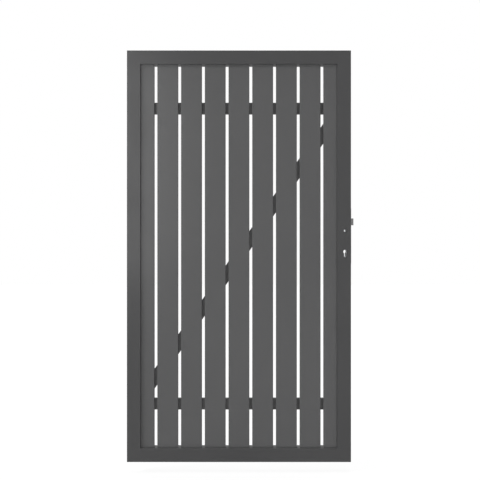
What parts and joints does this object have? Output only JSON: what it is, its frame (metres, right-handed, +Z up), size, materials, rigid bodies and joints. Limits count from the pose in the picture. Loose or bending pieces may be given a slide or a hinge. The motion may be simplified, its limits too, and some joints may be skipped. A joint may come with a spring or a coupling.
{
  "type": "aluminium garden gate leaf",
  "caption": "Upright-slat aluminium gate leaf with a mitred tube frame, crossbars and a diagonal brace behind the slats, and a mortise lock with a sprung latch.",
  "frame": {"origin": "on the outer face of the hinge stile, at mid-depth, level with the lower edge of the leaf", "axes": "+X from the hinge side to the lock side, +Y from the front to the back, +Z up"},
  "size_m": [0.995, 0.06, 1.8],
  "materials": {
    "frame_coat": "dark grey powder coat, satin, on hollow aluminium tube",
    "slat_coat": "dark grey powder coat, satin, on hollow aluminium slats",
    "bar_coat": "dark grey powder coat, satin, on flat aluminium tube",
    "forend_steel": "dark brushed steel",
    "bolt_steel": "satin plated steel",
    "case_steel": "zinc plated steel",
    "bush_steel": "zinc plated turned steel"
  },
  "bodies": {
    "leaf": {"hinge_stile": "frame_coat", "lock_stile": "frame_coat", "top_rail": "frame_coat", "bottom_rail": "frame_coat", "slat_1": "slat_coat", "slat_2": "slat_coat", "slat_3": "slat_coat", "slat_4": "slat_coat", "slat_5": "slat_coat", "slat_6": "slat_coat", "slat_7": "slat_coat", "slat_8": "slat_coat", "slat_9": "slat_coat", "upper_crossbar": "bar_coat", "lower_crossbar": "bar_coat", "diagonal_brace": "bar_coat", "upper_hinge_bush": "bush_steel", "lower_hinge_bush": "bush_steel", "forend": "forend_steel", "lock_case": "case_steel", "deadbolt": "bolt_steel"},
    "latch": {"latch_bolt": "bolt_steel"},
    "hub": {"spindle_hub": "case_steel"}
  },
  "joints": [
    {"name": "latch_slide", "type": "slide", "parent": "leaf", "child": "latch", "axis": [-1, 0, 0], "range_m": [0, 0.012], "stiffness_N_per_m": 400, "springref_m": -0.012},
    {"name": "hub_turn", "type": "hinge", "parent": "leaf", "child": "hub", "pos_m": [0.955, 0, 1.012], "axis": [0, -1, 0], "range_deg": [0, 36]}
  ],
  "couplings": [
    {"joint": "hub_turn", "follows": "latch_slide", "rad_per_m": 52.359}
  ]
}
